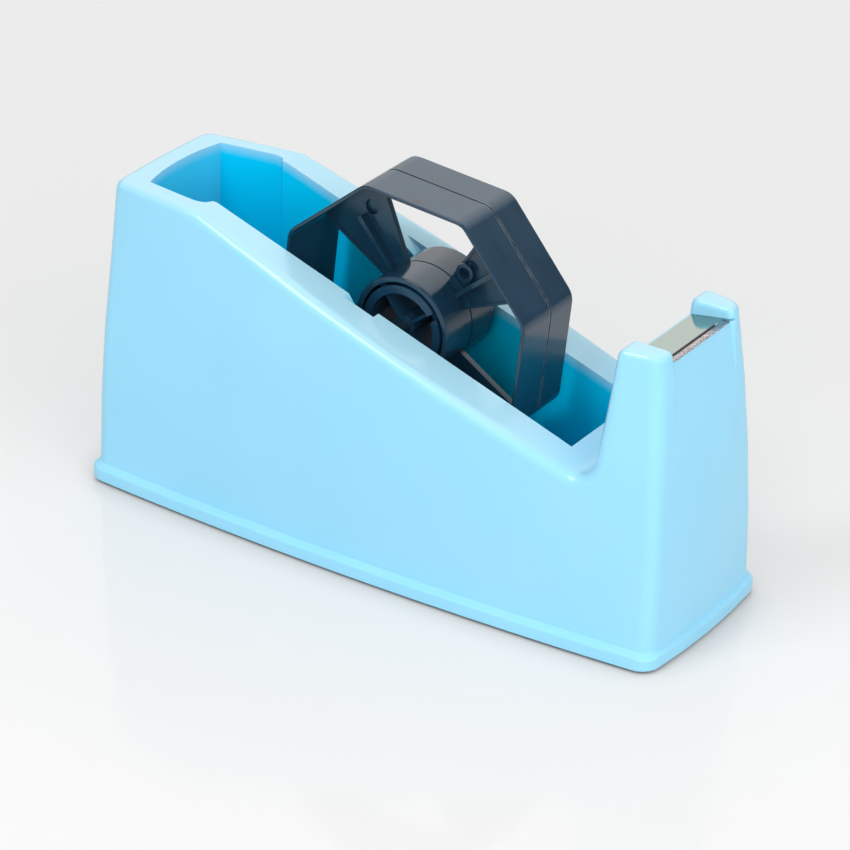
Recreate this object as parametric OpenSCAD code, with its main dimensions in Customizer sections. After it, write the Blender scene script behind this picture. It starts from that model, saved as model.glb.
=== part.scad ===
// Desk tape dispenser with a lift-out core wheel.
// X runs along the dispenser towards the blade, Y across it, Z up; the pad rests on z = 0.

/* [Housing] */
// Half length of the foot at its corners
foot_half_l = 84; // [70:0.5:100]
// Half width of the foot at its corners
foot_half_w = 27.2; // [22:0.1:40]
// Height of the rear rim
rim_z = 82.6; // [70:0.5:100]
// Fall of the sloping rim per unit of length
rim_slope = 0.3346; // [0.2:0.01:0.5]
// Wall thickness of the moulding
wall = 2.6; // [2:0.1:4]

/* [Wheel] */
// Height of the wheel axis
axis_z = 61.5; // [50:0.5:70]
// Half of the octagon across its corners
oct_r = 37.5; // [30:0.1:38]
// Width of the wheel
wheel_w = 22.4; // [18:0.1:26]
// Turn of the octagon at rest
wheel_turn = 5; // [0:1:44]
// Turn of the drum ribs at rest
drum_turn = 52; // [0:1:89]

/* [Tower] */
// Height of the ears
ear_z = 80.3; // [70:0.5:90]
// Half of the gap between the ears
gap_half = 13.4; // [10:0.1:16]

/* [Hidden] */
$fn = 48;
pad_t = 1.0;
bend_x = -52;
well_half = 15;
pocket_z = 40;
slot_dir = 141;
slot_hw = 1.6;
slot_end = 17.3;
pin_r = 1.4;
round_r = 2.8;
corner_r = 4;
corner_n = 5;
end_n = 4;
ceiling = 3.4;
foot_r = 5;
rear_x = 58.6;
lean = 5.7;
ear_r = 2.2;
ear_fillet = 1.8;
cheek_r = 1.5;
cheek_low = 50;
seam_y = 1.1;
rim_wall = 1.12;
web_t = 1.1;
rib_w = 0.7;
seam_w = 0.25;
hub_r = 13.4;
hub_bore = 11.8;
boss_at = [56, 236];
seat_x = 67;
seat_z = 75.4;
seat_tilt = 9;
screw_at = [[-60, 20.4], [-60, -20.4], [45, 20.6], [45, -20.6]];

// ---- outline of the housing at a height: half lengths, half width, bow of the sides
function sz(z) = (z - 5) / 78;
function half_w(z) = 25.1 - 2.4 * sz(z) - 3.44 * sz(z) * sz(z);
function half_f(z) = 82.7 - 0.3 * sz(z) - 4.9 * sz(z) * sz(z);
function flare(z) = max(0, z - 76) / 6.6;
function half_r(z) = 82.7 + 2.0 * sz(z) - 4.7 * sz(z) * sz(z) + flare(z);
function bow(z) = 3 + 3.5 * (z - 5) / 73;
function rim(x) = min(rim_z, rim_z - rim_slope * (x - bend_x));
function side_y(x, z) = half_w(z) + (x < 0 ? 1.2 * flare(z) : 0)
    + bow(z) * (1 - pow(x / ((x < 0 ? half_r(z) : half_f(z)) - corner_r), 2));

// a closed loop from one side's points: both sides, four round corners and two bowed ends
function corner(x, y, z, r, a0) = [for (i = [0:corner_n - 1]) let (a = a0 + 90 * i / corner_n)
    [x + r * cos(a), y + r * sin(a), z]];
function across_end(p, r, bulge, dir) = [for (i = [0:end_n - 1]) let (t = 2 * i / end_n - 1)
    [p[0] + dir * (r + bulge * (1 - t * t)), dir * t * (p[1] - r), p[2]]];
function loop_of(s, r_rear, r_front, bulge) = let (k = len(s) - 1, b = s[0], f = s[k]) concat(
    corner(b[0], r_rear - b[1], b[2], r_rear, 180),
    [for (i = [0:k - 1]) [s[i][0], -s[i][1], s[i][2]]],
    corner(f[0], r_front - f[1], f[2], r_front, 270),
    across_end(f, r_front, bulge, 1),
    corner(f[0], f[1] - r_front, f[2], r_front, 0),
    [for (i = [k:-1:1]) s[i]],
    corner(b[0], b[1] - r_rear, b[2], r_rear, 90),
    across_end(b, r_rear, bulge - 0.7 * sz(b[2]), -1));

// closed skin through a stack of loops; the lid is made of strips across the part
module skin(loops) {
    n = len(loops[0]);
    k = len(loops);
    t = (k - 1) * n;
    c = n - end_n;
    front = c / 2;
    polyhedron(points = [for (l = loops) each l], faces = concat(
        [for (j = [0:k - 2]) for (i = [0:n - 1]) let (m = (i + 1) % n)
            [j * n + i, (j + 1) * n + i, (j + 1) * n + m]],
        [for (j = [0:k - 2]) for (i = [0:n - 1]) let (m = (i + 1) % n)
            [j * n + i, (j + 1) * n + m, j * n + m]],
        [[for (i = [0:n - 1]) i]],
        [[t, for (i = [n - 1:-1:c]) t + i]],
        [for (i = [0:front - end_n / 2 - 1]) [t + i, t + (c - i) % n, t + c - i - 1, t + i + 1]],
        [[for (i = [front + end_n / 2:-1:front - end_n / 2]) t + i]]), convexity = 8);
}

// ---- top edge of a side as seen from the side: rear flat, slope, hollow foot of the tower,
// its rear face and the round of the ear. Each point is [x, z, outward x, outward z, fillet].
slope = atan(rim_slope);
arc_k = rim_z + rim_slope * bend_x + foot_r / cos(slope);
arc_x = (rear_x - foot_r / cos(lean) + tan(lean) * arc_k) / (1 + tan(lean) * rim_slope);
arc_z = arc_k - rim_slope * arc_x;
tower_x = arc_x + foot_r * cos(lean);
tower_z = arc_z - foot_r * sin(lean);
hollow_x = arc_x - foot_r * sin(slope);
ear_tan_z = ear_z - ear_r * (1 - sin(lean));
ear_x = tower_x + (ear_tan_z - tower_z) * tan(lean) + ear_r * cos(lean);
run = concat(
    [for (x = [-68, -60]) [x, rim_z, 0, 1, round_r]],
    [[bend_x, rim_z, tan(slope / 2), 1, round_r]],
    [for (i = [1:9]) let (x = bend_x + (hollow_x - bend_x) * i / 9)
        [x, rim(x), sin(slope), cos(slope), round_r]]);
rise = concat(
    [for (i = [1:6]) let (a = 270 - slope + (90 + slope - lean) * i / 6)
        [arc_x + foot_r * cos(a), arc_z + foot_r * sin(a), -cos(a), -sin(a), round_r]],
    [for (f = [0.25, 0.5, 0.7, 0.85, 1]) let (z = tower_z + (ear_tan_z - tower_z) * f)
        [tower_x + (z - tower_z) * tan(lean), z, -cos(lean), sin(lean),
         ear_fillet + (round_r - ear_fillet) * min(1, (1 - f) / 0.4)]],
    [for (i = [1:4]) let (a = 180 - lean - (90 - lean) * i / 4)
        [ear_x + ear_r * cos(a), ear_z - ear_r + ear_r * sin(a), cos(a), sin(a), ear_fillet]]);
edge = concat(run, rise);
// the same stations along the foot, spread out under the tower
foot_x = concat([for (e = run) e[0]],
    [for (i = [1:len(rise)]) hollow_x + (78 - hollow_x) * i / (len(rise) + 1)]);

function corner_at(d) = corner_r - 0.8 * d;
function end_pt(dir, z, d) = let (x = dir * ((dir < 0 ? half_r(z) : half_f(z)) - d - corner_at(d)))
    [x, side_y(x, z) - d, z];
// one loop of the fillet, from a = 0 at the wall to a = 90 on top
function fillet_side(a) = let (u = 1 - sin(a), v = 1 - cos(a)) concat(
    [end_pt(-1, rim_z - round_r * u, round_r * v)],
    [for (e = edge) let (x = e[0] - e[2] * e[4] * u, z = e[1] - e[3] * e[4] * u)
        [x, side_y(x, z) - e[4] * v, z]],
    [end_pt(1, ear_z - ear_fillet * u, ear_fillet * v)]);
function fillet_loop(a) = let (v = 1 - cos(a))
    loop_of(fillet_side(a), corner_at(round_r * v), corner_at(ear_fillet * v), 1.1);
// a loop part of the way up the wall
function wall_side(f) = let (top = fillet_side(0), k = len(top) - 1, zf = [for (p = top) 5 + (p[2] - 5) * f])
    concat([end_pt(-1, zf[0], 0)],
        [for (i = [1:k - 1]) let (x = foot_x[i - 1] + (top[i][0] - foot_x[i - 1]) * f)
            [x, side_y(x, zf[i]), zf[i]]],
        [end_pt(1, zf[k], 0)]);
// a loop of the foot, drawn in by d
function foot_loop(xs, d, z) = let (e = foot_half_l - 5.2 - d) loop_of(
    [for (x = concat([-e], xs, [e])) [x, foot_half_w - d + 3 * (1 - x * x / e / e), z]], 5.2, 5.2, 1.2);

module body_outer() {
    skin(concat(
        [foot_loop(foot_x, 0.6, pad_t),
         foot_loop(foot_x, 0, pad_t + 0.6),
         foot_loop(foot_x, 0, 3.6),
         foot_loop(foot_x, 0.2, 4),
         foot_loop(foot_x, 0.7, 4.3)],
        [for (f = [0, 0.25, 0.5, 0.75]) loop_of(wall_side(f), corner_r, corner_r, 1.1)],
        [for (a = [0:18:90]) fillet_loop(a)]));
}

// a loop of the hollow inside, under the rim
function inner_side(f) = let (
    z0 = pad_t + 1.9,
    zr = z0 + (rim_z - ceiling - z0) * f,
    zf = z0 + (rim(77) - ceiling - z0) * f,
    xr = wall + corner_r - half_r(zr),
    xf = half_f(zf) - wall - corner_r)
    [for (i = [0:8]) let (
        x = i < 2 ? xr + (bend_x - xr) * i / 2 : bend_x + (xf - bend_x) * (i - 2) / 6,
        z = z0 + (rim(x) - ceiling - z0) * f)
        [x, side_y(x, z) - wall, z]];
module body_inner() {
    skin([for (f = [0, 0.33, 0.67, 1]) loop_of(inner_side(f), corner_r, corner_r, 1.1)]);
}

// the foot's outline drawn in by d
function plan(d) = [for (p = foot_loop([for (x = [-60:20:60]) x], d, 0)) [p[0], p[1]]];

// ---- extrusions across the part
module across(y0, y1) {
    translate([0, y1, 0])
        rotate([90, 0, 0])
            linear_extrude(y1 - y0) children();
}
module prism(pts, y0, y1) {
    across(y0, y1) polygon(pts);
}

well_shape = [[-72.6, 90], [-71.2, 40], [-66, 26], [-57, 17.5], [-46, 12.5], [-34, 11.4],
              [30, 11.4], [38, 13.5], [44, 19], [48.5, 28], [51, 38], [52.6, 47.9], [52.6, 90]];
block_shape = [[-75.2, 90], [-73.8, 40], [-68.4, 25], [-58.6, 15.4], [-46.6, 9.9], [-34, 8.9],
               [30, 8.9], [39.2, 11.4], [46, 17.6], [50.8, 27.4], [53.4, 37.6], [55.2, 47.9], [55.2, 90]];

// the well widens behind the wheel and follows the curve of the walls there
pocket_side = concat([for (x = [-72:3:-57]) [x, side_y(x, rim_z) - 6.2]],
                     [[-55, 17], [-54.2, 16.6], [-53.6, 15.7], [-53, 14.8]]);
module pocket() {
    translate([0, 0, pocket_z])
        linear_extrude(60)
            polygon(concat(
                [for (t = [-1:0.25:1]) [-74.4 + 2 * t * t, 15 * t]],
                pocket_side,
                [for (i = [len(pocket_side) - 1:-1:0]) [pocket_side[i][0], -pocket_side[i][1]]]));
}

module slot(side, lead) {
    y0 = side > 0 ? well_half - 0.1 : -slot_end;
    y1 = side > 0 ? slot_end : 0.1 - well_half;
    translate([0, 0, axis_z])
        across(y0, y1) {
            circle(slot_hw);
            rotate(slot_dir) translate([0, -slot_hw]) square([40, 2 * slot_hw]);
        }
    prism([[-11.8 - lead, rim(-11.8 - lead) + 0.2], [-9.2, rim(-9.2) - 3.2], [-4, rim(-4) + 4]],
          y0, side > 0 ? y1 + 1.2 : y1);
}

module seat_block(half, thick) {
    translate([seat_x, 0, seat_z])
        rotate([0, -seat_tilt, 0])
            translate([-12, -half, 0])
                cube([30, 2 * half, thick]);
}

// the inner half of an ear, its outline drawn in towards the cheek so that the cheek's edges are round
function cheek_x(z) = half_f(z) + 0.25;
function cheek_outline(d) = concat(
    [for (z = [cheek_low, tower_z + 2]) [tower_x + (z - tower_z) * tan(lean) + d / cos(lean), z]],
    [for (i = [0:4]) let (a = 180 - lean - (90 - lean) * i / 4)
        [ear_x + (ear_r - d) * cos(a), ear_z - ear_r + (ear_r - d) * sin(a)]],
    [for (a = [90:-22.5:0])
        [cheek_x(ear_z) - ear_fillet + (ear_fillet - d) * cos(a),
         ear_z - ear_fillet + (ear_fillet - d) * sin(a)]],
    [for (z = [75, 70, 65, 60, 55, cheek_low]) [cheek_x(z) - d, z]]);
cheek_steps = concat([for (a = [0:22.5:67.5]) [cheek_r * (1 - cos(a)), cheek_r * (1 - sin(a))]],
                     [[cheek_r, -0.06], [cheek_r + 8, -0.06]]);
module cheek() {
    loops = [for (c = cheek_steps) [for (p = cheek_outline(c[1])) [p[0], gap_half + c[0], p[1]]]];
    n = len(loops[0]);
    k = len(loops);
    polyhedron(points = [for (l = loops) each l], faces = concat(
        [for (j = [0:k - 2]) for (i = [0:n - 1]) let (m = (i + 1) % n)
            [j * n + i, (j + 1) * n + m, (j + 1) * n + i]],
        [for (j = [0:k - 2]) for (i = [0:n - 1]) let (m = (i + 1) % n)
            [j * n + i, j * n + m, (j + 1) * n + m]],
        [[for (i = [n - 1:-1:0]) i]],
        [[for (i = [0:n - 1]) (k - 1) * n + i]]), convexity = 4);
}
// what is cut away above the blade and in front of its seat, between the cheeks
module ear_gap() {
    difference() {
        union() {
            seat_block(gap_half + cheek_r, 20);
            prism([[77.3, 90], [77.3, 77.4], [81.9, 52.4], [90, 52.4], [90, 90]],
                  -gap_half - cheek_r, gap_half + cheek_r);
        }
        cheek();
        mirror([0, 1, 0]) cheek();
    }
}

module housing() {
    color([0.62, 0.87, 0.97])
    difference() {
        union() {
            difference() {
                body_outer();
                difference() {
                    union() {
                        body_inner();
                        translate([68.4, -16.5, 20]) cube([6.2, 33, 50.5]);
                    }
                    union() {
                        prism(block_shape, -17.4, 17.4);
                        translate([-76.4, -18.9, pocket_z - 1.4]) cube([25, 37.8, 50]);
                        translate([-24, -19.6, 46]) cube([32, 39.2, 40]);
                    }
                }
            }
            for (p = screw_at)
                translate([p[0], p[1], 3]) cylinder(r = 3.6, h = 28);
        }
        prism(well_shape, -well_half, well_half);
        pocket();
        slot(-1, 0.6);
        slot(1, 6);
        ear_gap();
        seat_block(gap_half + 1.2, 0.55);
        translate([0, 0, pad_t - 0.5]) linear_extrude(2.5) polygon(plan(3));
        for (p = screw_at)
            translate([p[0], p[1], 2.5]) cylinder(r = 1.45, h = 10);
    }
}

// ---- base
module base_plate() {
    color([0.25, 0.27, 0.3])
    difference() {
        translate([0, 0, pad_t]) linear_extrude(2) polygon(plan(3.2));
        for (p = screw_at) {
            translate([p[0], p[1], pad_t - 1]) cylinder(r = 3, h = 2.4);
            translate([p[0], p[1], pad_t]) cylinder(r = 1.6, h = 3);
        }
    }
}
module pad() {
    color([0.12, 0.12, 0.13])
    linear_extrude(pad_t) polygon(plan(1.6));
}
module plate_screws() {
    color([0.7, 0.7, 0.72])
    for (p = screw_at)
        translate([p[0], p[1], pad_t])
            difference() {
                union() {
                    cylinder(r = 2.8, h = 1.4);
                    cylinder(r = 1.45, h = 10);
                }
                translate([-2, -0.4, -1]) cube([4, 0.8, 1.7]);
                translate([-0.4, -2, -1]) cube([0.8, 4, 1.7]);
            }
}
module floor_weight() {
    color([0.3, 0.3, 0.32])
    translate([-50, -15.5, pad_t + 2]) cube([88, 31, 5.8]);
}
module front_weight() {
    color([0.3, 0.3, 0.32])
    prism([[57, 3], [75.5, 3], [75.5, 35.6], [57, 41.8]], -17, 17);
}

// ---- blade: a flat plate that steps down to a thin toothed lip
teeth = 26;
module blade() {
    pitch = 2 * (gap_half - 0.4) / teeth;
    color([0.75, 0.78, 0.76])
    translate([seat_x, 0, seat_z])
        rotate([0, -seat_tilt, 0])
            difference() {
                union() {
                    prism([[0.3, 0], [11.2, 0], [11.2, 0.22], [9.15, 0.22], [8.8, 0.5], [0.3, 0.5]],
                          0.2 - gap_half, gap_half - 0.2);
                    translate([1.5, -gap_half - 1.1, 0])
                        cube([6.5, 2 * gap_half + 2.2, 0.5]);
                }
                for (i = [0:teeth])
                    translate([0, 0.4 - gap_half + i * pitch, -1])
                        linear_extrude(2)
                            polygon([[10.4, 0], [11.3, -pitch / 2], [11.3, pitch / 2]]);
            }
}

// ---- wheel: two octagon halves on a drum, the drum on an axle
module octagon(r, rc) {
    hull()
        for (i = [0:7])
            rotate(22.5 + 45 * i) translate([r - rc / cos(22.5), 0]) circle(rc, $fn = 32);
}
module ring(ro, ri) {
    difference() {
        circle(ro, $fn = 96);
        circle(ri, $fn = 96);
    }
}
// one half, its face at y = 0, built towards -Y; spoke is half of a spoke's angle.
// A shallow groove runs round the rim and the hub where the halves meet.
module adapter_half(rim_depth, hub_depth, spoke) {
    k = tan(45 - spoke);
    difference() {
        union() {
            across(-rim_depth, 0) difference() {
                octagon(oct_r, 5);
                octagon(oct_r - rim_wall, 3.9);
            }
            difference() {
                union() {
                    across(-web_t, 0) octagon(oct_r - 0.6, 4.4);
                    across(-web_t - 0.5, -seam_w) circle(hub_r + 2.2, $fn = 96);
                }
                across(-4, 1)
                    intersection() {
                        octagon(oct_r - rim_wall, 3.9);
                        for (a = [0, 90, 180, 270])
                            rotate(a) polygon([[9, -9 * k], [36, -36 * k], [36, 36 * k], [9, 9 * k]]);
                    }
            }
            across(-hub_depth, -seam_w) circle(hub_r, $fn = 96);
            across(-web_t, 0) circle(hub_r - seam_w, $fn = 96);
            for (a = [45, 135, 225, 315]) {
                across(-3.3, 0.1 - web_t) rotate(a) translate([13, -0.6]) square([15.5, 1.2]);
                for (s = [-1, 1])
                    across(-web_t - 0.5, 0.1 - web_t)
                        rotate(a + s * (spoke - 0.1))
                            translate([13, -rib_w / 2 - s * rib_w / 2]) square([18.6, rib_w]);
            }
            for (a = [52, 232])
                across(-1, 0.6) rotate(a) translate([29.2, 0]) circle(1.95);
        }
        across(-hub_depth - 1, 1) circle(hub_bore, $fn = 96);
        for (a = [128, 308])
            across(-9, 1) rotate(a) translate([29.2, 0]) circle(2);
        across(-seam_w, 1) difference() {
            circle(oct_r + 5);
            octagon(oct_r - seam_w, 4.7);
        }
    }
}
module adapter_near() {
    color([0.16, 0.19, 0.23])
    translate([0, seam_y, axis_z]) rotate([0, wheel_turn, 0])
        difference() {
            union() {
                adapter_half(wheel_w / 2 + seam_y, 11.1, 18);
                for (a = boss_at)
                    across(-2.6, 0.1 - web_t) rotate(a) translate([19.4, 0]) circle(2.4);
            }
            for (a = boss_at)
                across(-4, -0.5) rotate(a) translate([19.4, 0]) circle(1.5);
        }
}
module adapter_far() {
    color([0.16, 0.19, 0.23])
    translate([0, seam_y, axis_z]) rotate([0, wheel_turn, 0]) rotate([0, 0, 180])
        adapter_half(wheel_w / 2 - seam_y, 10.6, 12.5);
}
module drum() {
    color([0.14, 0.17, 0.2])
    translate([0, 0, axis_z]) rotate([0, drum_turn, 0]) {
        difference() {
            union() {
                across(-10, 10) ring(11.1, 9);
                for (a = [0, 90, 180, 270])
                    across(-8, 8) rotate(a) translate([10.4, -1]) square([hub_bore - 10.4, 2]);
                across(-8.6, 8.6) difference() {
                    union() {
                        translate([-9.5, -0.4]) square([19, 0.8]);
                        translate([-0.4, -9.5]) square([0.8, 19]);
                    }
                    circle(0.3);
                }
                across(-8.4, 8.4) circle(2.6);
            }
            for (a = [90, 270])
                for (s = [-1, 1])
                    across(s > 0 ? 8.2 : -11, s > 0 ? 11 : -8.2)
                        rotate(a) translate([8, -2.2]) square([4, 1.8]);
            across(-12, 12) circle(pin_r + 0.05);
        }
    }
}
module axle() {
    color([0.1, 0.12, 0.14])
    translate([0, 0, axis_z])
        rotate([90, 0, 0])
            cylinder(r = pin_r, h = 2 * (slot_end - 0.3), center = true);
}

housing();
blade();
base_plate();
pad();
front_weight();
floor_weight();
plate_screws();
adapter_near();
adapter_far();
drum();
axle();
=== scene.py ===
"""The looks of a desk tape dispenser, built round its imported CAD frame.

All lengths are in metres; a length given in millimetres is written times MM.
X runs along the dispenser towards the blade, Y across it, Z up, and the camera looks from
-Y and +X. A mask is a node socket that goes from 0 to 1.
"""
from math import cos, radians, sin

import bmesh
import bpy
from mathutils import Matrix, Vector


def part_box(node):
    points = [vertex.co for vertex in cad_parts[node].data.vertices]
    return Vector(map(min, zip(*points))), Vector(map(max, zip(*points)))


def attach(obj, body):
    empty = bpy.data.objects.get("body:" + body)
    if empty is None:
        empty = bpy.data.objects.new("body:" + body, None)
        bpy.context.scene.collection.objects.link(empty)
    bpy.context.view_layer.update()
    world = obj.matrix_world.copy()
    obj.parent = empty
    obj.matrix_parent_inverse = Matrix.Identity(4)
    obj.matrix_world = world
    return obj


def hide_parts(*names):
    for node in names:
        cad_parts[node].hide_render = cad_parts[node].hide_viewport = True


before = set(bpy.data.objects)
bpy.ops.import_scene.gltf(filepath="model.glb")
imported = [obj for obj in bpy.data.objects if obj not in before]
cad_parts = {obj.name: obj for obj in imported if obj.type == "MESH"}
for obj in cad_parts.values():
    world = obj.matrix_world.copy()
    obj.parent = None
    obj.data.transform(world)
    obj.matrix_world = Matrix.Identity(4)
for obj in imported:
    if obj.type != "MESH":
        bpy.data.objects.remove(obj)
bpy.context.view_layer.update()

MM = 0.001
SCENE = bpy.context.scene

# the rim of the housing: its height, where it bends, and its fall from there to the tower
RIM_Z = 82.6 * MM
BEND_X = -52 * MM
SLOPE = 0.3346
# how far the well reaches to its sides, to the front and to the rear
WELL_SIDE = 17.5 * MM
WELL_FRONT = 53.0 * MM
WELL_REAR = -74.8 * MM
# the painted top light on upward faces weakens towards the tower between these lengths, comes
# back between these heights of the tower, and is never on the foot
TOWER_FROM, TOWER_TO = 36 * MM, 54 * MM
EARS_FROM, EARS_TO = 68 * MM, 76 * MM
FOOT_FROM, FOOT_TO = 6 * MM, 9 * MM
# below this height lies the bottom edge of the foot
FOOT_EDGE_TOP = 2.4 * MM

# the wheel: the axle's height, the plane where its halves meet, the inside of the rim's flats
# measured from the axle, and the scar of the moulding gate
AXLE_Z = 61.5 * MM
SEAM_Y = 1.1 * MM
FLAT_INSIDE = 33.6 * MM
GATE_X, GATE_Y = 2.8 * MM, -9.4 * MM
# the planes in which the rim and the hub end, on the near and on the far half
NEAR_ENDS = (-11.2 * MM, -10.0 * MM)
FAR_ENDS = (11.2 * MM, 11.7 * MM)
# the rim lies further from the axle than this, and the hub nearer
HUB_CLEAR = 15 * MM
# how deep the ends of the snap pins are set back in their holes
PIN_SINK = 0.45 * MM
# the fold of the blade, and where the dark line in it ends
FOLD_X = 75.8 * MM
FOLD_END = 9.9 * MM

# edges sharper than this are rounded; the edges of the wheel's rim get a round of their own
SHARP = radians(32)
RIM_ROUND = 0.4 * MM

# sockets of a colour Mix node, whose names repeat
MIX_FACTOR, MIX_FIRST, MIX_SECOND, MIX_COLOUR = 0, 6, 7, 2


# ---------------------------------------------------------------- node helpers


def new_material(name):
    """A material with an empty Principled shader, and its node tree."""
    mat = bpy.data.materials.new(name)
    mat.use_nodes = True
    tree = mat.node_tree
    return mat, tree, tree.nodes["Principled BSDF"]


def add(tree, kind, **inputs):
    """A node of that kind, with the named input values set on its sockets."""
    node = tree.nodes.new(kind)
    for key, value in inputs.items():
        node.inputs[key.replace("_", " ")].default_value = value
    return node


def link(tree, out, into):
    tree.links.new(out, into)


def feed(tree, value, socket):
    """A socket is linked to the input, and a plain value is set on it."""
    if isinstance(value, bpy.types.NodeSocket):
        link(tree, value, socket)
    else:
        socket.default_value = value


def place(tree, scale=(1, 1, 1)):
    """Object coordinates in metres, stretched by scale."""
    coords = tree.nodes.new("ShaderNodeTexCoord")
    mapping = add(tree, "ShaderNodeMapping", Scale=scale)
    link(tree, coords.outputs["Object"], mapping.inputs["Vector"])
    return mapping.outputs["Vector"]


def facing(tree):
    """The direction a surface faces, in the object's own axes."""
    return tree.nodes.new("ShaderNodeTexCoord").outputs["Normal"]


def axes(tree, vector):
    """The X, Y and Z of a vector."""
    split = tree.nodes.new("ShaderNodeSeparateXYZ")
    link(tree, vector, split.inputs["Vector"])
    return [split.outputs[axis] for axis in "XYZ"]


def noise(tree, vector, scale, detail=2.0, roughness=0.5):
    node = add(tree, "ShaderNodeTexNoise", Scale=scale, Detail=detail, Roughness=roughness)
    link(tree, vector, node.inputs["Vector"])
    return node.outputs["Fac"]


def calc(tree, kind, first, second=0.0):
    """Two sockets or numbers joined by a Math node."""
    node = tree.nodes.new("ShaderNodeMath")
    node.operation = kind
    feed(tree, first, node.inputs[0])
    feed(tree, second, node.inputs[1])
    return node.outputs["Value"]


def product(tree, first, *others):
    """All the sockets or numbers multiplied together."""
    for other in others:
        first = calc(tree, "MULTIPLY", first, other)
    return first


def dot(tree, first, second):
    """The dot product of two vectors, each a socket or three numbers."""
    node = tree.nodes.new("ShaderNodeVectorMath")
    node.operation = "DOT_PRODUCT"
    feed(tree, first, node.inputs[0])
    feed(tree, second, node.inputs[1])
    return node.outputs["Value"]


def spread(tree, value, low, high, start=0.3, end=0.7):
    """value from start to end becomes low to high, and stays there beyond."""
    node = add(tree, "ShaderNodeMapRange",
               From_Min=start, From_Max=end, To_Min=low, To_Max=high)
    link(tree, value, node.inputs["Value"])
    return node.outputs["Result"]


def tint(tree, value, low, high, start=0.3, end=0.7):
    """A colour between low and high, as value goes from start to end."""
    ramp = tree.nodes.new("ShaderNodeValToRGB")
    for element, position, colour in zip(ramp.color_ramp.elements, (start, end), (low, high)):
        element.position = position
        element.color = (*colour, 1)
    link(tree, value, ramp.inputs["Fac"])
    return ramp.outputs["Color"]


def blend(tree, mask, first, second):
    """The first colour, a socket, turns into the second, a socket or three numbers, by mask."""
    mix = tree.nodes.new("ShaderNodeMix")
    mix.data_type = "RGBA"
    link(tree, mask, mix.inputs[MIX_FACTOR])
    link(tree, first, mix.inputs[MIX_FIRST])
    feed(tree, (*second, 1) if isinstance(second, tuple) else second, mix.inputs[MIX_SECOND])
    return mix.outputs[MIX_COLOUR]


def bump(tree, heights):
    """A chain of bumps: each entry is (height, distance in mm, strength)."""
    normal = None
    for height, depth, strength in heights:
        node = add(tree, "ShaderNodeBump", Distance=depth * MM, Strength=strength)
        link(tree, height, node.inputs["Height"])
        if normal is not None:
            link(tree, normal, node.inputs["Normal"])
        normal = node.outputs["Normal"]
    return normal


# ---------------------------------------------------------------- the housing's plastic


def painted_well_shade_mask(tree, vector):
    """0 on the outside of the housing and 1 on the walls of its well, from a few millimetres
    under the rim: where a deeper colour is painted as the well's shade."""
    x, y, z = axes(tree, vector)
    past_bend = calc(tree, "MAXIMUM", calc(tree, "SUBTRACT", x, BEND_X), 0.0)
    rim = calc(tree, "SUBTRACT", RIM_Z, calc(tree, "MULTIPLY", past_bend, SLOPE))
    depth = calc(tree, "SUBTRACT", rim, z)
    edge = 0.1 * MM
    return product(
        tree,
        spread(tree, depth, 0.0, 1.0, 0.2 * MM, 3.0 * MM),
        spread(tree, calc(tree, "ABSOLUTE", y), 1.0, 0.0, WELL_SIDE - edge, WELL_SIDE + edge),
        spread(tree, x, 1.0, 0.0, WELL_FRONT - edge, WELL_FRONT + edge),
        spread(tree, x, 0.0, 1.0, WELL_REAR - edge, WELL_REAR + edge))


def painted_top_light_mask(tree, vector):
    """0 where a surface is upright and 1 where it lies flat and faces up, less at the foot of
    the tower and not at all on the housing's own foot: where a paler colour is painted as top
    light."""
    x, _, z = axes(tree, vector)
    flat = spread(tree, axes(tree, facing(tree))[2], 0.0, 1.0, 0.35, 0.92)
    off_foot = spread(tree, z, 0.0, 1.0, FOOT_FROM, FOOT_TO)
    before_tower = spread(tree, x, 1.0, 0.2, TOWER_FROM, TOWER_TO)
    on_ears = spread(tree, z, 0.0, 1.0, EARS_FROM, EARS_TO)
    return product(tree, flat, off_foot, calc(tree, "MAXIMUM", before_tower, on_ears))


def rear_wall_painted_light(tree):
    """1, and a little less where a surface faces the front, as the rear wall of the well does:
    there the painted shade gives way to painted light from the front.
    """
    return spread(tree, axes(tree, facing(tree))[0], 1.0, 0.84, 0.3, 0.9)


def glossy_plastic(name, low, high, painted_light_and_shade, inside):
    """Polished moulded ABS: an even colour, paler where it faces up as painted top light and
    deeper down in the well as painted shade, with a faint waviness and slightly uneven gloss."""
    mat, tree, shader = new_material(name)
    plain = place(tree)
    cloud = noise(tree, plain, 30, 3)
    # a paler colour on upward faces: painted top light
    outside = blend(tree, painted_top_light_mask(tree, plain), tint(tree, cloud, low, high), painted_light_and_shade)
    # a deeper colour painted in the well as its shade, a little less on the rear wall
    well_shade = product(tree, painted_well_shade_mask(tree, plain), rear_wall_painted_light(tree))
    link(tree, blend(tree, well_shade, outside, inside), shader.inputs["Base Color"])
    haze = noise(tree, plain, 45, 4, 0.6)
    link(tree, spread(tree, haze, 0.15, 0.20), shader.inputs["Roughness"])
    wave = noise(tree, plain, 22, 1)
    peel = noise(tree, plain, 700, 1)
    link(tree, bump(tree, [(wave, 0.5, 0.08), (peel, 0.006, 0.10)]), shader.inputs["Normal"])
    shader.inputs["IOR"].default_value = 1.49
    return mat


# ---------------------------------------------------------------- the wheel's plastic


def outward(tree, vector):
    """How far a face that looks away from the axle is from it; below 0 if it looks towards it."""
    arm = tree.nodes.new("ShaderNodeVectorMath")
    arm.operation = "SUBTRACT"
    link(tree, vector, arm.inputs[0])
    arm.inputs[1].default_value = (0.0, 0.0, AXLE_Z)
    return dot(tree, arm.outputs["Vector"], facing(tree))


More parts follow.
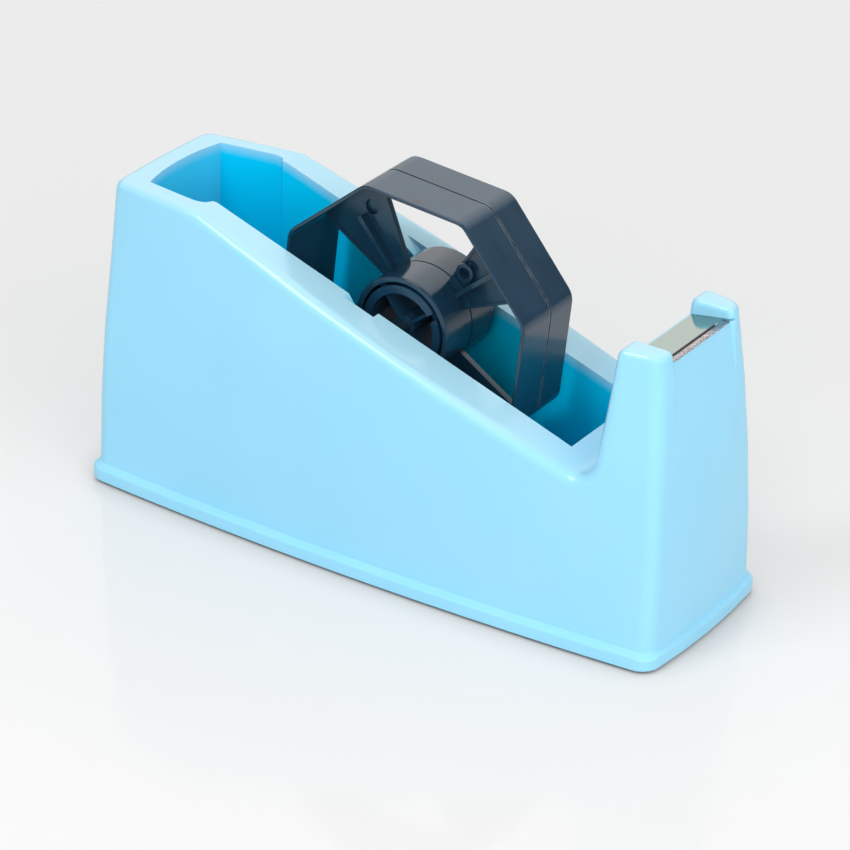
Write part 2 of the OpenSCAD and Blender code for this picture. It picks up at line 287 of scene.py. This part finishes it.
def seam_wear_and_highlight_mask(tree, vector):
    """1 on the outside of the wheel's rim along the line where its halves meet, broken up by
    wear and strongest on the flats towards the blade. The lighter line is partly wear and partly
    a painted highlight on the raised seam."""
    x, y, _ = axes(tree, vector)
    from_seam = calc(tree, "ABSOLUTE", calc(tree, "SUBTRACT", y, SEAM_Y))
    line = spread(tree, from_seam, 1.0, 0.0, 0.42 * MM, 0.62 * MM)
    rim = spread(tree, outward(tree, vector), 0.0, 1.0, HUB_CLEAR, HUB_CLEAR + 5 * MM)
    worn = spread(tree, noise(tree, vector, 260, 4, 0.7), 0.25, 1.0, 0.36, 0.56)
    front = spread(tree, x, 0.15, 1.0, 12 * MM, 16 * MM)
    return product(tree, line, rim, worn, front)


def gate_mask(tree, vector):
    """1 in the small scar that the moulding gate left on the rim's top flat."""
    x, y, z = axes(tree, vector)
    core, edge, raggedness = 0.7 * MM, 1.1 * MM, 0.6 * MM
    squares = [calc(tree, "POWER", calc(tree, "SUBTRACT", value, centre), 2.0)
               for value, centre in ((x, GATE_X), (y, GATE_Y))]
    ragged = calc(tree, "MULTIPLY", noise(tree, vector, 1600, 2), raggedness ** 2)
    square = calc(tree, "ADD", calc(tree, "ADD", *squares), ragged)
    spot = spread(tree, square, 1.0, 0.0, core ** 2, edge ** 2)
    inside = AXLE_Z + FLAT_INSIDE
    return product(tree, spot, spread(tree, z, 0.0, 1.0, inside, inside + 0.6 * MM))


def satin_plastic(name, low, high, roughness, seam_wear_and_highlight=None):
    """Dark moulded plastic with a satin face, flow marks and a fine spark texture.
    The optional last colour is the wheel's seam line, partly wear and partly a painted highlight;
    with it comes the gate's scar."""
    mat, tree, shader = new_material(name)
    plain = place(tree)
    flow = noise(tree, place(tree, (1, 2.5, 1)), 55, 2, 0.5)
    colour = tint(tree, flow, low, high)
    if seam_wear_and_highlight:
        # the seam line: partly wear, partly a painted highlight on the raised seam
        colour = blend(tree, seam_wear_and_highlight_mask(tree, plain), colour, seam_wear_and_highlight)
        colour = blend(tree, gate_mask(tree, plain), colour, (0.002, 0.003, 0.005))
    link(tree, colour, shader.inputs["Base Color"])
    link(tree, spread(tree, flow, *roughness), shader.inputs["Roughness"])
    grain = noise(tree, plain, 3800, 2)
    dents = noise(tree, plain, 160, 2)
    link(tree, bump(tree, [(dents, 0.15, 0.10), (grain, 0.02, 0.12)]), shader.inputs["Normal"])
    shader.inputs["IOR"].default_value = 1.59
    return mat


# ---------------------------------------------------------------- metal and foam


def fold_dark_reflection_mask(tree, vector):
    """1 in the fold where the blade steps down to its lip, except near its far end: where a dark
    colour is painted as the fold's dark reflection.
    """
    x, y, _ = axes(tree, vector)
    from_fold = calc(tree, "ABSOLUTE", calc(tree, "SUBTRACT", x, FOLD_X))
    line = spread(tree, from_fold, 1.0, 0.0, 0.30 * MM, 0.42 * MM)
    return product(tree, line, spread(tree, y, 1.0, 0.0, FOLD_END - 0.8 * MM, FOLD_END))


def lip_mask(tree, vector):
    """1 on the ground and toothed lip in front of the fold."""
    return spread(tree, axes(tree, vector)[0], 0.0, 1.0, FOLD_X + 0.2 * MM, FOLD_X + 0.4 * MM)


def rolled_steel(name, colour, dark, roughness, folded=False):
    """Bright strip steel with fine lines along its length, which is across the dispenser.
    A folded one has a painted dark reflection along its fold and a speckled, ground lip."""
    mat, tree, shader = new_material(name)
    lines = noise(tree, place(tree, (40, 1, 40)), 180, 3, 0.6)
    face = tint(tree, lines, dark, colour, 0.25, 0.6)
    if folded:
        plain = place(tree)
        chips = noise(tree, place(tree, (1, 1.6, 1)), 1900, 2, 0.6)
        ground = tint(tree, chips, (0.20, 0.17, 0.18), (0.56, 0.50, 0.50), 0.40, 0.62)
        face = blend(tree, lip_mask(tree, plain), face, ground)
        # a painted dark reflection along the fold
        face = blend(tree, fold_dark_reflection_mask(tree, plain), face, (0.045, 0.035, 0.045))
    link(tree, face, shader.inputs["Base Color"])
    link(tree, spread(tree, lines, *roughness), shader.inputs["Roughness"])
    link(tree, bump(tree, [(lines, 0.01, 0.15)]), shader.inputs["Normal"])
    shader.inputs["Metallic"].default_value = 1.0
    return mat


def foam_rubber(name, low, high):
    """Matt cellular rubber: rough, with small open cells."""
    mat, tree, shader = new_material(name)
    plain = place(tree)
    voronoi = add(tree, "ShaderNodeTexVoronoi", Scale=1500)
    link(tree, plain, voronoi.inputs["Vector"])
    cells = voronoi.outputs["Distance"]
    link(tree, tint(tree, cells, low, high, 0.0, 0.8), shader.inputs["Base Color"])
    link(tree, spread(tree, noise(tree, plain, 300), 0.75, 0.95), shader.inputs["Roughness"])
    link(tree, bump(tree, [(cells, 0.2, 0.6)]), shader.inputs["Normal"])
    return mat


def cast_iron(name, low, high):
    """Rough grey casting."""
    mat, tree, shader = new_material(name)
    sand = noise(tree, place(tree), 900, 4, 0.7)
    link(tree, tint(tree, sand, low, high), shader.inputs["Base Color"])
    link(tree, spread(tree, sand, 0.55, 0.8), shader.inputs["Roughness"])
    link(tree, bump(tree, [(sand, 0.3, 0.7)]), shader.inputs["Normal"])
    shader.inputs["Metallic"].default_value = 0.8
    return mat


# the third colour is painted top light on upward faces; inside is painted shade deep in the well
SKY_BLUE = glossy_plastic("sky_blue_abs", (0.29, 0.675, 0.90), (0.315, 0.695, 0.915),
                          painted_light_and_shade=(0.40, 0.70, 0.84), inside=(0.0, 0.63, 0.96))
# the wheel's dark plastic has a blue tint painted in as light bounced from the blue housing
CHARCOAL_BLUE_BOUNCE = satin_plastic("charcoal_plastic", (0.006, 0.030, 0.058), (0.011, 0.043, 0.078),
                         (0.14, 0.23), seam_wear_and_highlight=(0.12, 0.135, 0.15))
DRUM_GREY = satin_plastic("drum_plastic", (0.005, 0.028, 0.058), (0.009, 0.038, 0.074),
                          (0.14, 0.23))
BLACK = satin_plastic("axle_plastic", (0.006, 0.016, 0.030), (0.012, 0.026, 0.044),
                      (0.25, 0.4))
PLATE = satin_plastic("base_plastic", (0.020, 0.022, 0.025), (0.032, 0.034, 0.038),
                      (0.5, 0.65))
STEEL = rolled_steel("blade_steel", (0.345, 0.405, 0.36), (0.32, 0.375, 0.335),
                     (0.08, 0.14), folded=True)
SCREW = rolled_steel("screw_steel", (0.62, 0.62, 0.64), (0.45, 0.45, 0.47), (0.25, 0.4))
FOAM = foam_rubber("pad_foam", (0.012, 0.012, 0.014), (0.035, 0.035, 0.038))
IRON = cast_iron("weight_iron", (0.05, 0.05, 0.055), (0.14, 0.135, 0.13))


# ---------------------------------------------------------------- pieces


def dress(obj, mat):
    """The object's only material."""
    obj.data.materials.clear()
    obj.data.materials.append(mat)
    for face in obj.data.polygons:
        face.material_index = 0


def add_bevel(piece, width, segments, chosen_by):
    bevel = piece.modifiers.new("round", "BEVEL")
    bevel.width = width
    bevel.segments = segments
    bevel.limit_method = chosen_by
    bevel.angle_limit = SHARP
    bevel.miter_outer = "MITER_ARC"
    bevel.harden_normals = True


def apply_modifiers(piece):
    """What the modifiers make becomes the mesh."""
    graph = bpy.context.evaluated_depsgraph_get()
    done = bpy.data.meshes.new_from_object(piece.evaluated_get(graph), depsgraph=graph)
    piece.modifiers.clear()
    piece.data = done


def clean_copy(node, name, rims, reshape):
    """A copy of the node's mesh, its flat faces made whole. Sharp edges that lie in one of the
    planes y = rims are weighted for the bevel, and reshape moves each vertex."""
    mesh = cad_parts[node].data.copy()
    mesh.name = name
    bm = bmesh.new()
    bm.from_mesh(mesh)
    bmesh.ops.remove_doubles(bm, verts=bm.verts, dist=0.002 * MM)
    bmesh.ops.dissolve_limit(bm, angle_limit=radians(0.4), verts=bm.verts, edges=bm.edges)
    for vertex in bm.verts if reshape else ():
        reshape(vertex.co)
    weights = bm.edges.layers.float.new("bevel_weight_edge")
    for edge in bm.edges:
        for y in rims:
            in_plane = all(abs(vertex.co.y - y) < 0.02 * MM for vertex in edge.verts)
            if in_plane and edge.calc_face_angle(0) > SHARP:
                edge[weights] = 1.0
    for face in bm.faces:
        face.smooth = True
    bm.to_mesh(mesh)
    bm.free()
    return mesh


def soft_edged(node, name, width, rims=(), reshape=None):
    """A new piece with the node's shape, its sharp edges rounded by width and those in the
    planes y = rims by RIM_ROUND."""
    piece = bpy.data.objects.new(name, clean_copy(node, name, rims, reshape))
    SCENE.collection.objects.link(piece)
    if rims:
        add_bevel(piece, RIM_ROUND, 4, "WEIGHT")
    add_bevel(piece, width, 3, "ANGLE")
    normals = piece.modifiers.new("normals", "WEIGHTED_NORMAL")
    normals.keep_sharp = True
    apply_modifiers(piece)
    return piece


def add_piece(piece, body, mat, node):
    """The piece gets its material, rides on the body and stands for the CAD node."""
    dress(piece, mat)
    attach(piece, body)
    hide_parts(node)


def lower_foot(at):
    """The foot's bottom edge comes down beside the pad, as it does in the photograph: from
    about 1.2 to 0.7 mm, and the round in it gets 0.6 of its height."""
    if at.z < FOOT_EDGE_TOP:
        at.z = 0.7 * MM + (at.z - 1.2 * MM) * 0.6


housing = soft_edged("housing", "housing_shell", 0.45 * MM, reshape=lower_foot)
add_piece(housing, "base", SKY_BLUE, "housing")
near = soft_edged("adapter_near", "wheel_near", 0.2 * MM, rims=NEAR_ENDS)
add_piece(near, "wheel", CHARCOAL_BLUE_BOUNCE, "adapter_near")
far = soft_edged("adapter_far", "wheel_far", 0.2 * MM, rims=FAR_ENDS)
for vertex in far.data.vertices:
    if vertex.co.y < SEAM_Y - 0.3 * MM:    # only the snap pins reach past the seam
        vertex.co.y += PIN_SINK
add_piece(far, "wheel", CHARCOAL_BLUE_BOUNCE, "adapter_far")
drum = soft_edged("drum", "core_drum", 0.15 * MM)
add_piece(drum, "wheel", DRUM_GREY, "drum")
plate = soft_edged("base_plate", "foot_plate", 0.3 * MM)
add_piece(plate, "base", PLATE, "base_plate")

for node, mat in (("blade", STEEL), ("pad", FOAM), ("axle", BLACK), ("plate_screws", SCREW),
                  ("front_weight", IRON), ("floor_weight", IRON)):
    dress(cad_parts[node], mat)


# ---------------------------------------------------------------- stage

FLOOR_HALF = 3.0
FLOOR_COLOUR = (0.51, 0.505, 0.50)
FLOOR_GLOW = 0.32
# the floor is painted darker along this direction, between these two distances, to this part of
# its colour: painted shade towards the back
FADE_ALONG = (-0.535, 0.845, 0)
FADE_FROM, FADE_TO = -0.10, 0.12
FADED = 0.91
# what the floor's own light fades to, also painted shade towards the back
FADED_GLOW = (0.91, 0.93, 0.94)
LAMPS_AIM = (0, 0, 0.04)


def floor_material():
    """Pale acrylic, painted darker towards the back as shade, with a faint mirror image of what
    stands on it. Only the camera and gloss see a little light of its own, which keeps it pale and
    dims where something stands close above it, as a painted contact shadow."""
    mat, tree, shader = new_material("floor_acrylic")
    far = spread(tree, dot(tree, place(tree), FADE_ALONG), 0.0, 1.0, FADE_FROM, FADE_TO)
    painted_light_and_shade = tuple(part * FADED for part in FLOOR_COLOUR)
    link(tree, tint(tree, far, FLOOR_COLOUR, painted_light_and_shade, 0.0, 1.0), shader.inputs["Base Color"])
    link(tree, tint(tree, far, (1, 1, 1), FADED_GLOW, 0.0, 1.0), shader.inputs["Emission Color"])
    shader.inputs["Roughness"].default_value = 0.06
    shader.inputs["IOR"].default_value = 1.2
    ray = tree.nodes.new("ShaderNodeLightPath")
    seen = calc(tree, "MAXIMUM", ray.outputs["Is Camera Ray"], ray.outputs["Is Glossy Ray"])
    # the floor's own light dims where something stands close above it: a painted contact shadow
    shade = add(tree, "ShaderNodeAmbientOcclusion", Distance=14 * MM)
    open_air = spread(tree, shade.outputs["AO"], 0.0, FLOOR_GLOW, 0.1, 0.9)
    link(tree, product(tree, seen, open_air), shader.inputs["Emission Strength"])
    return mat


def make_floor(half):
    mesh = bpy.data.meshes.new("floor")
    mesh.from_pydata([(-half, -half, 0), (half, -half, 0), (half, half, 0), (-half, half, 0)], [],
                     [(0, 1, 2, 3)])
    floor = bpy.data.objects.new("floor", mesh)
    SCENE.collection.objects.link(floor)
    dress(floor, floor_material())


def soft_box(name, at, size, power, mirrored=False):
    """A square soft box at a point, aimed at the dispenser. Gloss shows only a mirrored one."""
    lamp = bpy.data.lights.new(name, "AREA")
    lamp.shape = "SQUARE"
    lamp.size = size
    lamp.energy = power
    obj = bpy.data.objects.new(name, lamp)
    obj.location = at
    obj.rotation_euler = (Vector(LAMPS_AIM) - Vector(at)).to_track_quat("-Z", "Y").to_euler()
    obj.visible_glossy = mirrored
    SCENE.collection.objects.link(obj)


def make_world(strength, dim, bright, towards):
    """A white studio that lights evenly with that strength. Gloss sees it brightest towards
    one side, from dim to bright."""
    world = bpy.data.worlds.new("studio")
    world.use_nodes = True
    tree = world.node_tree
    back = tree.nodes["Background"]
    back.inputs["Color"].default_value = (1, 1, 1, 1)
    coords = tree.nodes.new("ShaderNodeTexCoord")
    nearness = dot(tree, coords.outputs["Generated"], Vector(towards).normalized())
    glow = spread(tree, nearness, dim - strength, bright - strength, 0.62, 0.95)
    ray = tree.nodes.new("ShaderNodeLightPath")
    gloss = product(tree, ray.outputs["Is Glossy Ray"], glow)
    link(tree, calc(tree, "ADD", gloss, strength), back.inputs["Strength"])
    SCENE.world = world


def make_camera():
    """A long lens from the front right, turned two degrees, as the dispenser was photographed."""
    azimuth, elevation, roll = radians(32.353), radians(27.789), radians(1.979)
    to_side, down, distance = 0.32 * MM, 27.38 * MM, 999.64 * MM
    focal, frame_width = 4070.3, 850    # in pixels of the square frame
    low_end, high_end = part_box("axle")
    right = Vector((cos(azimuth), sin(azimuth), 0))
    back = Vector((sin(azimuth) * cos(elevation), -cos(azimuth) * cos(elevation), sin(elevation)))
    up = back.cross(right)
    side = right * cos(roll) + up * sin(roll)
    top = up * cos(roll) - right * sin(roll)
    at = (low_end + high_end) / 2 + side * to_side - top * down + back * distance
    lens = bpy.data.cameras.new("camera")
    lens.sensor_width = 36
    lens.lens = lens.sensor_width * focal / frame_width
    obj = bpy.data.objects.new("camera", lens)
    turn = Matrix((side, top, back)).transposed().to_4x4()
    obj.matrix_world = Matrix.Translation(at) @ turn
    SCENE.collection.objects.link(obj)
    SCENE.camera = obj


make_floor(FLOOR_HALF)
make_world(strength=0.60, dim=0.20, bright=1.5, towards=(-0.30, 0.68, 0.68))
soft_box("front", (0.30, -1.08, 0.42), 1.2, 5.4)
soft_box("right", (1.06, -0.38, 0.42), 1.2, 9)
soft_box("back", (-0.50, 1.10, 0.42), 1.2, 4)
soft_box("high", (-0.28, -0.72, 1.06), 0.45, 5, mirrored=True)
make_camera()
SCENE.view_settings.view_transform = "Standard"
